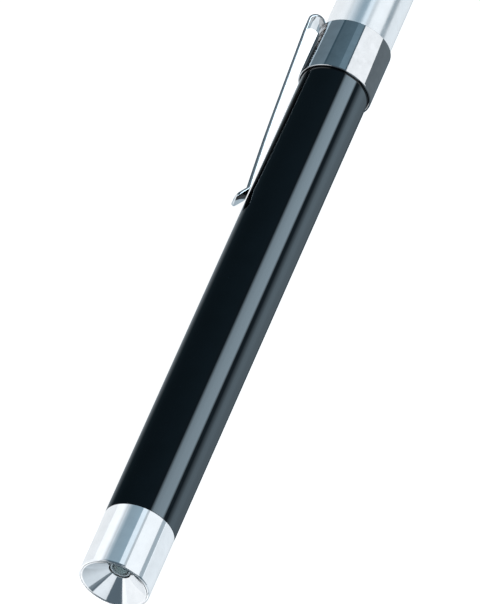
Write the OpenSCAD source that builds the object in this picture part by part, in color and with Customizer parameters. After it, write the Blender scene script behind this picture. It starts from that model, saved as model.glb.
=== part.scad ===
// Penlight: two small cells in a lacquered barrel, a lamp head with its own
// reflector, a sprung pocket clip and a tail cap with a push switch.
// The axis runs along X and the beam leaves towards +X.
// The origin is on the axis, where the head meets the barrel.
// It lies on its band and on one edge of the clip, which stands out towards -Y and down.

/* [Cells] */
// Diameter of a cell over its label
cell_d = 10.5; // [9.5:0.1:12]
// Length of a cell over its raised terminal
cell_length = 44.5; // [40:0.5:50]
// Diameter of the raised terminal
nub_d = 3.8; // [3:0.1:4.5]
// Height of the raised terminal
nub_height = 0.8; // [0.6:0.1:1.4]
// Thickness of the label sleeve
label_wall = 0.1; // [0.06:0.01:0.2]
// Bare can left at each end of the label
label_margin = 0.6; // [0.3:0.1:1.5]

/* [Barrel] */
// Wall of the barrel beside the cells
barrel_wall = 1.1; // [0.9:0.05:1.6]
// How much wider the threaded sockets are than the bore
socket_step = 0.5; // [0.4:0.05:0.6]
// Length of the threaded spigot on the head and on the tail cap
spigot_length = 6.5; // [5.5:0.5:9]
// Pitch of both threads
thread_pitch = 0.75; // [0.5:0.05:1]
// Depth of both threads
thread_depth = 0.3; // [0.2:0.05:0.4]
// Bevel on the ends of the barrel
barrel_bevel = 0.15; // [0.1:0.05:0.3]
// Thickness of a sealing ring
seal_section = 0.8; // [0.6:0.05:1]
// Metal left under the groove of a sealing ring
groove_wall = 0.5; // [0.4:0.05:0.7]

/* [Head] */
// Length of the bright head in front of the barrel
head_length = 12.6; // [11:0.1:16]
// Width of the lip around the reflector
lip_width = 0.7; // [0.65:0.01:0.9]
// Rounding on the outside of the lip
lip_round = 0.3; // [0.2:0.05:0.6]
// Depth of the reflector cone
reflector_depth = 2.96; // [2:0.02:3.6]
// Metal behind the reflector cone
lamp_web = 2; // [1.2:0.1:2.6]

/* [Lamp] */
// Diameter of the lamp's lens
lens_d = 3; // [2.6:0.1:3.4]
// Height of the lens over the lamp's flange
lens_height = 4.3; // [3.8:0.1:4.6]
// How far the lens stands out of the small end of the cone
lens_rise = 0.3; // [0.1:0.05:0.8]
// Diameter of the lamp's flange
flange_d = 3.8; // [3.6:0.1:4.4]
// Thickness of the lamp's flange
flange_thick = 1; // [0.7:0.1:1.4]
// Distance between the two lamp leads
lead_pitch = 2.54; // [2.3:0.02:3]
// Thickness of a lamp lead
lead_d = 0.5; // [0.4:0.05:0.6]
// Wall of the holder's nose around the lens
nose_wall = 0.25; // [0.2:0.01:0.4]
// Dark gap between the holder's nose and the reflector
nose_gap = 0.22; // [0.1:0.01:0.4]
// Space for the leads between the lamp and the board
lead_space = 1; // [0.6:0.1:1.5]
// Thickness of the driver board
board_thick = 0.8; // [0.6:0.1:1.2]
// Length of the resistor on the board
resistor_length = 2; // [1.6:0.1:2.4]
// Width of the resistor
resistor_width = 1.25; // [0.8:0.05:1.4]
// Height of the resistor
resistor_height = 0.5; // [0.3:0.05:0.6]
// Thickness of the ground ring
ground_thick = 0.4; // [0.3:0.05:0.6]
// Width of the ground ring
ground_width = 1.1; // [0.7:0.1:1.2]
// Diameter of the front contact's button
contact_d = 4; // [3:0.1:5]
// Thickness of the front contact's button
contact_thick = 0.7; // [0.5:0.1:1]
// Diameter of the front contact's stem
stem_d = 1.4; // [1:0.1:1.5]

/* [Clip] */
// Length of the band that covers the joint between barrel and tail cap
band_length = 11.23; // [9:0.1:12]
// Thickness of the spring sheet
sheet = 0.45; // [0.35:0.01:0.6]
// Width of the clip
clip_width = 4.2; // [3.4:0.1:5]
// Radius of the hairpin, at the middle of the sheet
bend_r = 1.35; // [1.1:0.05:1.8]
// Length of the bowed arm, from the hairpin to the pinch
arm_length = 39.8; // [34:0.2:46]
// Share of the arm's slope that starts straight from the hairpin
lean_share = 0.85; // [0.6:0.05:0.95]
// Share of the arm's length that runs straight before it bows
straight_share = 0.5; // [0.3:0.05:0.6]
// Gap between the pinch and the barrel
clip_clear = 0.15; // [0.1:0.05:0.6]
// Radius of the pinch, at the middle of the sheet
pinch_r = 0.8; // [0.5:0.05:1.2]
// Angle at which the tip flares away from the barrel
tip_angle = 30; // [20:1:40]
// Length of the flared tip
tip_length = 2.9; // [1.6:0.1:3.2]
// Rounding on the corners of the tip
tip_round = 1.1; // [0.5:0.1:1.4]

/* [Springs] */
// Fitted length of the spring behind the cells
cell_spring_length = 7.8; // [6.5:0.1:9]
// Mean diameter of the spring behind the cells
cell_spring_d = 4.8; // [4:0.1:5.4]
// Wire of the spring behind the cells
cell_spring_wire = 0.6; // [0.4:0.05:0.7]
// Turns of the spring behind the cells
cell_spring_turns = 5; // [3:1:6]
// Fitted length of the button's return spring
return_spring_length = 7.5; // [6.5:0.1:9]
// Mean diameter of the return spring
return_spring_d = 5.8; // [5:0.1:6.6]
// Wire of the return spring
return_spring_wire = 0.5; // [0.35:0.05:0.6]
// Turns of the return spring
return_spring_turns = 5; // [3:1:6]

/* [Switch] */
// Length of the switch housing
switch_length = 16; // [14:0.5:19]
// Front wall of the switch housing
switch_wall = 1.5; // [1:0.1:2]
// Side wall of the switch chamber
chamber_wall = 1.2; // [0.8:0.1:1.5]
// Depth of the switch inside the tail cap's spigot
switch_recess = 2.2; // [2:0.1:3]
// Thickness of the retaining ring
ring_thick = 1.5; // [1:0.1:1.8]
// Thickness of the plate under the cell spring
plate_thick = 0.6; // [0.4:0.05:0.8]
// Diameter of the plate's rivet
rivet_d = 1.5; // [1:0.1:1.8]
// Thickness of the fixed contacts
leaf_thick = 0.4; // [0.3:0.05:0.5]
// Width of the side contact's tab
tab_width = 1.6; // [1:0.1:2]
// Thickness of the moving contact
bridge_thick = 0.5; // [0.4:0.05:0.7]
// Diameter of the plunger
plunger_d = 2.9; // [2.4:0.1:3.4]

/* [Tail] */
// Rear wall of the tail cap
tail_wall = 2.5; // [2:0.1:4]
// Rounding on the rear edge of the tail cap
tail_round = 0.8; // [0.4:0.1:1.2]
// Diameter of the push button
button_d = 7.5; // [6.5:0.1:8]
// How far the button stands out of the tail cap
button_out = 3.3; // [2.6:0.1:4.5]
// Travel of the button
button_travel = 1.9; // [1.2:0.1:2.2]
// Thickness of the button's collar
collar_thick = 1; // [0.8:0.1:1.5]
// Rounding on the end of the button
button_round = 0.9; // [0.4:0.1:1.2]

/* [Hidden] */
$fn = 96;

// Clearances
cell_clear = 0.15;     // cell in the bore, each side
label_clear = 0.02;    // label sleeve around its can
thread_clear = 0.08;   // spigot in its socket, each side
seal_clear = 0.05;     // sealing ring in its groove and socket
insert_clear = 0.05;   // inserts in the head and in the tail cap
pin_clear = 0.05;      // pins, stems and leads in their holes
slide_clear = 0.05;    // plunger and button in their bores
band_clear = 0.05;     // band over the barrel and the tail cap
joint_gap = 0.06;      // end faces that screw together
contact_gap = 0.1;     // contacts that only meet under load
flex_gap = 0.04;       // root of the clip and the band
socket_run = 0.5;      // socket past the end of its spigot
over = 1;              // overrun of every cut

// Small features of single pieces
can_bevel = 0.3;
seal_offset = 0.9;     // from a spigot's shoulder to its seal groove
thread_land = 0.6;     // plain metal at both ends of a thread
plug_recess = 0.3;     // plug below the end of the head's spigot
plug_pocket = 0.6;     // pocket in the plug for the parts on the board
lead_tail = 0.4;       // lead behind the board
nose_back = 0.25;      // holder's nose below the small end of the cone
plate_margin = 0.1;    // plate around its spring
ring_gap = 0.25;       // retaining ring around the plate
rivet_flare = 0.45;    // rivet's inner head past its stem
leaf_gap = 0.5;        // fixed contacts from each other
leaf_width = 0.9;      // side contact's ring
bridge_gap = 0.35;     // moving contact in its chamber
chamber_run = 0.4;     // chamber behind the moving contact
collar_gap = 0.15;     // button's collar in the tail cap
spring_sides = 6;
curl_rings = 8;
arc_steps = 8;
bend_steps = 24;
arm_steps = 16;

// Radii
bore_r = cell_d / 2 + cell_clear;
barrel_r = bore_r + barrel_wall;
socket_r = bore_r + socket_step;
spigot_r = socket_r - thread_clear;
seal_mid_r = socket_r - seal_clear - seal_section / 2;
groove_r = seal_mid_r - seal_section / 2 - seal_clear;
groove_width = seal_section + 2 * seal_clear;
core_r = groove_r - groove_wall;
insert_r = core_r - insert_clear;
can_r = cell_d / 2 - label_wall - label_clear;
mouth_r = barrel_r - lip_width;
lens_r = lens_d / 2;
nose_r = lens_r + pin_clear + nose_wall;
lamp_hole_r = nose_r + nose_gap;
pocket_r = insert_r - ground_width;
band_r = barrel_r + band_clear;
plate_r = (cell_spring_d + cell_spring_wire) / 2 + plate_margin;
chamber_r = insert_r - chamber_wall;
rivet_head_r = rivet_d / 2 + rivet_flare;
leaf_r = rivet_head_r + leaf_gap;
plunger_r = plunger_d / 2;
button_r = button_d / 2;

// Stations along the axis, from front to back
cone_back = head_length - reflector_depth;
web_back = cone_back - lamp_web;
lens_tip = cone_back + lens_rise;
lamp_seat = lens_tip - lens_height;
lamp_back = lamp_seat - flange_thick;
board_front = lamp_back - lead_space;
board_back = board_front - board_thick;
ground_back = board_back - ground_thick;
plug_back = plug_recess - spigot_length;
contact_back = plug_back - contact_thick;
cells_front = contact_back - contact_gap;
cells_back = cells_front - 2 * cell_length;
spring_back = cells_back - cell_spring_length;
switch_front = spring_back - plate_thick;
tail_nose = switch_front + switch_recess;
tail_shoulder = tail_nose - spigot_length;
barrel_back = tail_shoulder + joint_gap;
band_front = barrel_back + band_length / 2;
band_back = band_front - band_length;
chamber_front = switch_front - switch_wall;
leaf_back = chamber_front - leaf_thick;
bridge_front = leaf_back - contact_gap - button_travel;
bridge_back = bridge_front - bridge_thick;
chamber_back = bridge_back - chamber_run;
switch_back = switch_front - switch_length;
collar_front = switch_back - return_spring_length;
collar_back = collar_front - collar_thick;
tail_seat = collar_back - slide_clear;
tail_back = tail_seat - tail_wall;
button_back = tail_back - button_out;
socket_depth = spigot_length + socket_run;

// Clip, drawn by the middle of its sheet in distances along and from the axis
root_u = band_r + sheet / 2;
bend_x = band_back - flex_gap;
bend_u = root_u + bend_r;
arm_u = root_u + 2 * bend_r;
pinch_u = barrel_r + clip_clear + sheet / 2;
arm_drop = arm_u - pinch_u;
arm_lean = lean_share * atan2(arm_drop, arm_length);
lean_out = [sin(arm_lean), cos(arm_lean)];
lean_along = [cos(arm_lean), -sin(arm_lean)];
bow_start = [bend_x, bend_u] + bend_r * lean_out + straight_share * arm_length * lean_along;
bow_chord = [bend_x + arm_length, pinch_u] - bow_start;
bow_drop = -(bow_chord * lean_out);
arm_r = (bow_chord * bow_chord) / (2 * bow_drop);
arm_angle = arm_lean + 2 * atan2(bow_drop, bow_chord * lean_along);
pinch_center = [
  bend_x + arm_length + pinch_r * sin(arm_angle),
  pinch_u + pinch_r * cos(arm_angle)
];
tip_start = pinch_center + pinch_r * [sin(tip_angle), -cos(tip_angle)];
tip_end = tip_start + tip_length * [cos(tip_angle), sin(tip_angle)];

// Roll of the clip below the horizontal, where its edge meets the surface under the band
clip_edge = [arm_u + sheet / 2, clip_width / 2];
rest_roll = 90 - acos((band_r + sheet) / norm(clip_edge)) - atan2(clip_edge[1], clip_edge[0]);

// Colours
lacquer = "#14191d";
bright_metal = "#d3dbe1";
polished_steel = "#b9c3ca";
brass = "#c9a24b";
rubber = "#1b1b1c";
ivory = "#e8e6dd";
board_green = "#2e6b45";
black_plastic = "#26282b";
cell_steel = "#a9adb0";
label_blue = "#3a5f86";

// Points of a quarter arc around a centre, between two angles
function arc(center, r, from, to) = [
  for (i = [0:arc_steps])
    let (a = from + (to - from) * i / arc_steps)
      center + r * [cos(a), sin(a)]
];

// A threaded spigot's outline as radius and distance from its shoulder
thread_start = seal_offset + groove_width + thread_land;
thread_count = floor((spigot_length - thread_start - thread_land) / thread_pitch);
thread_points = [
  for (i = [0:thread_count - 1])
    let (d = thread_start + i * thread_pitch)
      each [[spigot_r, d], [spigot_r - thread_depth, d + thread_pitch / 2]]
];
spigot_points = concat(
  [
    [spigot_r, 0],
    [spigot_r, seal_offset],
    [groove_r, seal_offset],
    [groove_r, seal_offset + groove_width],
    [spigot_r, seal_offset + groove_width]
  ],
  thread_points,
  [
    [spigot_r, thread_start + thread_count * thread_pitch],
    [spigot_r, spigot_length - barrel_bevel],
    [spigot_r - barrel_bevel, spigot_length]
  ]
);

// The clip's middle line: each entry is a point and its outward normal
clip_line = concat(
  [
    for (i = [0:bend_steps])
      let (a = (180 + arm_lean) * i / bend_steps, n = [-sin(a), -cos(a)])
        [[bend_x, bend_u] + bend_r * n, n]
  ],
  [
    for (i = [0:arm_steps])
      let (a = arm_lean + (arm_angle - arm_lean) * i / arm_steps, n = [sin(a), cos(a)])
        [bow_start + arm_r * (n - lean_out), n]
  ],
  [
    for (i = [1:arc_steps])
      let (a = arm_angle - (arm_angle + tip_angle) * i / arc_steps, n = [sin(a), cos(a)])
        [pinch_center - pinch_r * n, n]
  ],
  [[tip_end, [-sin(tip_angle), cos(tip_angle)]]]
);

// Middle points of a coil that starts on X at zero
function coil_line(mean_r, wire, length, turns) = [
  for (i = [0:turns * curl_rings])
    let (a = 360 * i / curl_rings, s = i / (turns * curl_rings))
      [wire / 2 + s * (length - wire), mean_r * cos(a), mean_r * sin(a)]
];

// Least gap between one turn of a coil and the next, over its points
function coil_gap(line, wire) =
  min([for (i = [0:len(line) - 1 - curl_rings]) norm(line[i + curl_rings] - line[i])]) - wire;

// A body of revolution from points of radius and station
module turned(points) {
  rotate([0, 90, 0])
    rotate_extrude()
      polygon(points);
}

// A solid round bar between two stations
module bar(r, back, front) {
  translate([back, 0, 0])
    rotate([0, 90, 0])
      cylinder(r = r, h = front - back);
}

// A plain ring between two stations
module ring(outer_r, inner_r, back, front) {
  difference() {
    bar(outer_r, back, front);
    bar(inner_r, back - over, front + over);
  }
}

// A sealing ring with a round section
module seal(station) {
  translate([station, 0, 0])
    rotate([0, 90, 0])
      rotate_extrude()
        translate([seal_mid_r, 0])
          circle(d = seal_section, $fn = 32);
}

// A coil of round wire, as one tube along its middle line
module coil(line, wire) {
  last = len(line) - 1;
  points = [
    for (i = [0:last])
      let (a = 360 * i / curl_rings)
        for (k = [0:spring_sides - 1])
          let (b = 360 * k / spring_sides, out = wire / 2 * cos(b))
            line[i] + [wire / 2 * sin(b), out * cos(a), out * sin(a)]
  ];
  sides = [
    for (i = [0:last - 1])
      for (k = [0:spring_sides - 1])
        let (p = i * spring_sides + k, q = i * spring_sides + (k + 1) % spring_sides)
          each [[p, q, p + spring_sides], [q, q + spring_sides, p + spring_sides]]
  ];
  first_end = [for (k = [1:spring_sides - 2]) [0, k + 1, k]];
  base = last * spring_sides;
  last_end = [for (k = [1:spring_sides - 2]) [base, base + k, base + k + 1]];
  polyhedron(points = points, faces = concat(sides, first_end, last_end));
}

module barrel() {
  color(lacquer)
    turned([
      [socket_r, -joint_gap],
      [barrel_r - barrel_bevel, -joint_gap],
      [barrel_r, -joint_gap - barrel_bevel],
      [barrel_r, barrel_back + barrel_bevel],
      [barrel_r - barrel_bevel, barrel_back],
      [socket_r, barrel_back],
      [socket_r, barrel_back + socket_depth],
      [bore_r, barrel_back + socket_depth],
      [bore_r, -socket_depth],
      [socket_r, -socket_depth]
    ]);
}

module clip_band() {
  color(polished_steel)
    ring(band_r + sheet, band_r, band_back, band_front);
}

module clip_arm() {
  outer = [for (p = clip_line) p[0] + p[1] * sheet / 2];
  inner = [for (i = [len(clip_line) - 1:-1:0]) clip_line[i][0] - clip_line[i][1] * sheet / 2];
  tip_x = tip_end[0];
  back_x = bend_x - bend_r - sheet;
  color(polished_steel)
    rotate([rest_roll, 0, 0])
      intersection() {
        linear_extrude(height = clip_width, center = true)
          polygon([for (p = concat(outer, inner)) [p[0], -p[1]]]);
        rotate([90, 0, 0])
          linear_extrude(height = arm_u + over) {
            translate([back_x, -clip_width / 2])
              square([tip_x - tip_round - back_x, clip_width]);
            translate([tip_x - 2 * tip_round, tip_round - clip_width / 2])
              square([2 * tip_round, clip_width - 2 * tip_round]);
            for (side = [-1, 1])
              translate([tip_x - tip_round, side * (clip_width / 2 - tip_round)])
                circle(r = tip_round);
          }
      }
}

module head_shell() {
  spigot = [for (i = [len(spigot_points) - 1:-1:0]) [spigot_points[i][0], -spigot_points[i][1]]];
  color(bright_metal)
    turned(concat(
      [[barrel_r, 0]],
      arc([barrel_r - lip_round, head_length - lip_round], lip_round, 0, 90),
      [
        [mouth_r, head_length],
        [lamp_hole_r, cone_back],
        [lamp_hole_r, web_back],
        [core_r, web_back],
        [core_r, -spigot_length]
      ],
      spigot
    ));
}

module head_seal() {
  color(rubber)
    seal(-seal_offset - groove_width / 2);
}

module lamp() {
  color(ivory)
    turned(concat(
      [
        [0, lamp_back],
        [flange_d / 2, lamp_back],
        [flange_d / 2, lamp_seat],
        [lens_r, lamp_seat]
      ],
      arc([0, lens_tip - lens_r], lens_r, 0, 90)
    ));
}

// Puts its children at both lamp leads
module at_leads() {
  for (side = [-1, 1])
    translate([0, side * lead_pitch / 2, 0])
      children();
}

module lamp_leads() {
  color(cell_steel)
    at_leads()
      bar(lead_d / 2, board_back - lead_tail, lamp_back);
}

module lamp_holder() {
  color(ivory)
    difference() {
      union() {
        bar(insert_r, board_front, web_back);
        bar(nose_r, board_front, cone_back - nose_back);
      }
      bar(lens_r + pin_clear, board_front - over, lens_tip);
      bar(flange_d / 2 + pin_clear, board_front - over, lamp_seat);
    }
}

module driver_board() {
  color(board_green)
    difference() {
      bar(insert_r, board_back, board_front);
      at_leads()
        bar(lead_d / 2 + pin_clear, board_back - over, board_front + over);
    }
}

module resistor() {
  color(black_plastic)
    translate([board_back - resistor_height, -resistor_length / 2, (pocket_r + stem_d / 2 - resistor_width) / 2])
      cube([resistor_height, resistor_length, resistor_width]);
}

module ground_ring() {
  color(brass)
    ring(insert_r, pocket_r, ground_back, board_back);
}

module lamp_plug() {
  color(black_plastic)
    difference() {
      bar(insert_r, plug_back, ground_back);
      bar(pocket_r, ground_back - plug_pocket, ground_back + over);
      bar(stem_d / 2 + pin_clear, plug_back - over, ground_back);
    }
}

module front_contact() {
  color(brass) {
    bar(contact_d / 2, contact_back, plug_back);
    bar(stem_d / 2, contact_back, board_back);
  }
}

// Station of a cell's front, with the front cell first
function cell_front(place) = cells_front - place * cell_length;

module cell_can(place) {
  front = cell_front(place) - nub_height;
  back = cell_front(place) - cell_length;
  color(cell_steel)
    turned([
      [0, back],
      [can_r - can_bevel, back],
      [can_r, back + can_bevel],
      [can_r, front - can_bevel],
      [can_r - can_bevel, front],
      [0, front]
    ]);
}

module cell_terminal(place) {
  color(cell_steel)
    bar(nub_d / 2, cell_front(place) - nub_height, cell_front(place));
}

module cell_label(place) {
  back = cell_front(place) - cell_length + label_margin;
  front = cell_front(place) - nub_height - label_margin;
  color(label_blue)
    ring(can_r + label_clear + label_wall, can_r + label_clear, back, front);
}

module front_cell_can() {
  cell_can(0);
}

module front_cell_terminal() {
  cell_terminal(0);
}

module front_cell_label() {
  cell_label(0);
}

module rear_cell_can() {
  cell_can(1);
}

module rear_cell_terminal() {
  cell_terminal(1);
}

module rear_cell_label() {
  cell_label(1);
}

module cell_spring() {
  line = coil_line(
    cell_spring_d / 2, cell_spring_wire, cell_spring_length - contact_gap, cell_spring_turns
  );
  echo(cell_spring_gap = coil_gap(line, cell_spring_wire));
  color(cell_steel)
    translate([spring_back, 0, 0])
      coil(line, cell_spring_wire);
}

module tail_cap() {
  spigot = [for (p = spigot_points) [p[0], tail_shoulder + p[1]]];
  color(bright_metal)
    turned(concat(
      spigot,
      [
        [core_r, tail_nose],
        [core_r, tail_seat],
        [button_r + slide_clear, tail_seat],
        [button_r + slide_clear, tail_back]
      ],
      arc([barrel_r - tail_round, tail_back + tail_round], tail_round, -90, 0),
      [[barrel_r, tail_shoulder]]
    ));
}

module tail_seal() {
  color(rubber)
    seal(tail_shoulder + seal_offset + groove_width / 2);
}

module retaining_ring() {
  color(brass)
    ring(insert_r, plate_r + ring_gap, switch_front, switch_front + ring_thick);
}

module spring_plate() {
  color(brass) {
    bar(plate_r, switch_front, spring_back);
    bar(rivet_d / 2, leaf_back, spring_back);
    bar(rivet_head_r, leaf_back, chamber_front);
  }
}

module side_contact() {
  color(brass) {
    ring(leaf_r + leaf_width, leaf_r, leaf_back, chamber_front);
    translate([leaf_back, -tab_width / 2, leaf_r + leaf_width / 2])
      cube([leaf_thick, tab_width, insert_r - leaf_r - leaf_width / 2]);
  }
}

module switch_housing() {
  color(black_plastic)
    difference() {
      bar(insert_r, switch_back, switch_front);
      bar(rivet_d / 2 + pin_clear, chamber_front - over, switch_front + over);
      bar(chamber_r, chamber_back, chamber_front);
      bar(plunger_r + slide_clear, switch_back - over, chamber_front);
      translate([leaf_back - pin_clear, -tab_width / 2 - pin_clear, 0])
        cube([leaf_thick + pin_clear, tab_width + 2 * pin_clear, insert_r + over]);
    }
}

module bridge_contact() {
  color(brass)
    bar(chamber_r - bridge_gap, bridge_back, bridge_front);
}

module plunger() {
  color(ivory)
    bar(plunger_r, collar_front, bridge_back);
}

module return_spring() {
  line = coil_line(
    return_spring_d / 2, return_spring_wire, return_spring_length, return_spring_turns
  );
  echo(return_spring_gap = coil_gap(line, return_spring_wire));
  color(cell_steel)
    translate([collar_front, 0, 0])
      coil(line, return_spring_wire);
}

module push_button() {
  color(lacquer)
    turned(concat(
      [
        [0, collar_front],
        [core_r - collar_gap, collar_front],
        [core_r - collar_gap, collar_back],
        [button_r, collar_back]
      ],
      arc([button_r - button_round, button_back + button_round], button_round, 0, -90),
      [[0, button_back]]
    ));
}

barrel();
clip_band();
clip_arm();
head_shell();
head_seal();
lamp();
lamp_leads();
lamp_holder();
driver_board();
resistor();
ground_ring();
lamp_plug();
front_contact();
front_cell_can();
front_cell_terminal();
front_cell_label();
rear_cell_can();
rear_cell_terminal();
rear_cell_label();
cell_spring();
tail_cap();
tail_seal();
retaining_ring();
spring_plate();
side_contact();
switch_housing();
bridge_contact();
plunger();
return_spring();
push_button();
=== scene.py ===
import math

import bpy
from mathutils import Matrix, Vector


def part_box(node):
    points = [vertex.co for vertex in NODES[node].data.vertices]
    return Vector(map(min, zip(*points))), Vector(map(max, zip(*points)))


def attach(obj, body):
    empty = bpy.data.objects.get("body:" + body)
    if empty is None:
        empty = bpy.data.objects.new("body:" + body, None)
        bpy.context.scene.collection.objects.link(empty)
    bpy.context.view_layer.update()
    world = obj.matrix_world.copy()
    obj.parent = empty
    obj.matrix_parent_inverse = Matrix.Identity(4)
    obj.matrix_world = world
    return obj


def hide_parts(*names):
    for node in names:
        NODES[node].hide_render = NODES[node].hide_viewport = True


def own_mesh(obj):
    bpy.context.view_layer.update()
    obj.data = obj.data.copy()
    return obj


bl_info = {
    "name": "Penlight Finisher",
    "version": (1, 0, 0),
    "blender": (4, 5, 0),
    "location": "View3D > Sidebar > Penlight",
    "description": "Models the shells of a penlight around its fixed frame and gives every piece its finish",
    "category": "Object",
}

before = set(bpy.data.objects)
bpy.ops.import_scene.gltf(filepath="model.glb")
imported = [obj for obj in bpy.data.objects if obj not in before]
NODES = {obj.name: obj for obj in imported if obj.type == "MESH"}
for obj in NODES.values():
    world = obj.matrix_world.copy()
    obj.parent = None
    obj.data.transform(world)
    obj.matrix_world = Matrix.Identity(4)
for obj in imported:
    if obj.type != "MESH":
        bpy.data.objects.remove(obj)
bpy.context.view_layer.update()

# Steps around a turned piece and along a rounding, and small distances in metres
TURN_SIDES = 160
ARC_STEPS = 8
MERGE_DISTANCE = 1e-7
AXIS_HOLE = 2e-5

# The frame's own places, in metres along and from the pen's axis
BARREL_LOW, BARREL_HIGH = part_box("barrel")
HEAD_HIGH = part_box("head_shell")[1]
BAND_LOW, BAND_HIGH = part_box("clip_band")
ARM_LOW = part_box("clip_arm")[0]
TAIL_LOW, TAIL_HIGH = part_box("tail_cap")
BUTTON_LOW, BUTTON_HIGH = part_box("push_button")
LAMP_LOW, LAMP_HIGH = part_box("lamp")
HOLDER_LOW, HOLDER_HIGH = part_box("lamp_holder")
SEAL_LOW, SEAL_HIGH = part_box("head_seal")
SPRING_LOW, SPRING_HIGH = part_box("return_spring")
BARREL_RADIUS = BARREL_HIGH[1]
BAND_RADIUS = BAND_HIGH[1]
JOINT_PLANE = 0.0


def metres(label, about, default, least):
    """A setting for a length, with its default and its least value."""
    return bpy.props.FloatProperty(
        name=label, description=about, default=default, min=least, unit="LENGTH", precision=5)


def rgb(label, about, default):
    """A setting for a colour, with its default."""
    return bpy.props.FloatVectorProperty(
        name=label, description=about, default=default, subtype="COLOR", min=0, max=1)


class PenlightSizes(bpy.types.PropertyGroup):
    """Sizes that the frame's boxes don't give, in metres"""

    barrel_wall: metres("Barrel wall", "Wall of the barrel beside the cells", 0.0011, 0.0006)
    socket_step: metres("Socket step", "How much wider a socket is than the bore", 0.0005, 0.0001)
    socket_depth: metres("Socket depth", "Depth of the socket at each end of the barrel", 0.007, 0.003)
    edge_round: metres("Edge rounding", "Rounding on the ends of the barrel", 0.00015, 0.00005)
    lip_width: metres("Lip width", "Width of the lip around the reflector", 0.0007, 0.0003)
    lip_round: metres("Lip rounding", "Rounding on the outside of the lip", 0.0003, 0.0001)
    lip_crown: metres(
        "Lip crown", "How far the polished front of the lip falls away towards the mouth", 0.00003, 0.0)
    reflector_depth: metres("Reflector depth", "Depth of the reflector cone", 0.00296, 0.001)
    lamp_hole: metres("Lamp hole", "Radius of the hole at the small end of the cone", 0.00202, 0.0012)
    lamp_web: metres("Lamp web", "Thickness of the wall behind the cone", 0.002, 0.0005)
    lens_radius: metres("Lens radius", "Radius of the lamp's lens", 0.0015, 0.0008)
    lens_height: metres("Lens height", "Height of the lens over the lamp's flange", 0.0043, 0.002)
    cup_radius: metres("Cup radius", "Radius of the bright cup inside the lamp", 0.0009, 0.0003)
    cup_depth: metres("Cup depth", "Depth of the bright cup inside the lamp", 0.0005, 0.0001)
    nose_wall: metres("Nose wall", "Wall of the holder's nose around the lens", 0.00025, 0.0001)
    fit: metres("Fit", "Gap between pieces that fit inside each other", 0.00005, 0.00001)
    spigot_length: metres("Spigot length", "Length of the threaded spigots", 0.0065, 0.003)
    spigot_gap: metres("Spigot gap", "Gap between a spigot and its socket", 0.00008, 0.00001)
    thread_pitch: metres("Thread pitch", "Distance from one thread ridge to the next", 0.00075, 0.0003)
    thread_depth: metres("Thread depth", "Depth of the thread", 0.0003, 0.0001)
    seal_offset: metres("Seal offset", "Distance from a shoulder to its seal groove", 0.0009, 0.0003)
    thread_land: metres("Thread land", "Plain metal at both ends of a thread", 0.0006, 0.0002)
    tail_wall: metres("Tail wall", "Rear wall of the tail cap", 0.0025, 0.001)
    tail_round: metres("Tail rounding", "Rounding on the rear edge of the tail cap", 0.0008, 0.0002)
    button_radius: metres("Button radius", "Radius of the push button", 0.00375, 0.002)
    button_round: metres("Button rounding", "Rounding on the end of the push button", 0.0009, 0.0002)
    dish_radius: metres("Dish radius", "Radius of the dish for the thumb in the button's end", 0.0024, 0.001)
    dish_depth: metres("Dish depth", "Depth of the dish for the thumb in the button's end", 0.0003, 0.0)
    collar_thick: metres("Collar thickness", "Thickness of the button's collar", 0.001, 0.0004)
    button_travel: metres("Button travel", "How far the button goes in", 0.0019, 0.0005)
    spring_wire: metres("Spring wire", "Thickness of the return spring's wire", 0.0005, 0.0002)
    spring_turns: bpy.props.IntProperty(
        name="Spring turns", description="Turns of the return spring",
        default=5, min=3, max=6)
    sheet: metres("Spring sheet", "Thickness of the spring sheet of the clip and its band", 0.00045, 0.0002)
    sheet_edge: metres("Sheet edge", "Rounding on the edges of the spring sheet", 0.00008, 0.00002)
    band_round: metres("Band rounding", "Rounding on the band's front edge", 0.0002, 0.00005)
    clip_width: metres("Clip width", "Width of the clip's strip", 0.0042, 0.002)
    bend_radius: metres(
        "Hairpin radius", "Radius of the clip's hairpin at the middle of the sheet", 0.00135, 0.0005)
    arm_length: metres("Arm length", "Length of the clip from the hairpin to the pinch", 0.0398, 0.02)
    lean_share: bpy.props.FloatProperty(
        name="Lean share", description="Share of the arm's slope that starts straight from the hairpin",
        default=0.85, min=0.1, max=0.95)
    straight_share: bpy.props.FloatProperty(
        name="Straight share", description="Share of the arm's length that runs straight before it bows",
        default=0.5, min=0.1, max=0.7)
    pinch_gap: metres("Pinch gap", "Gap between the clip's pinch and the barrel", 0.00015, 0.0001)
    pinch_radius: metres("Pinch radius", "Radius of the pinch at the middle of the sheet", 0.0008, 0.0003)
    tip_angle: bpy.props.FloatProperty(
        name="Tip angle", description="Angle at which the tip flares",
        default=math.radians(30), min=0.1, subtype="ANGLE")
    tip_length: metres("Tip length", "Length of the flared tip", 0.0029, 0.0005)
    tip_round: metres("Tip rounding", "Rounding on the corners of the tip", 0.0011, 0.0003)


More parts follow.
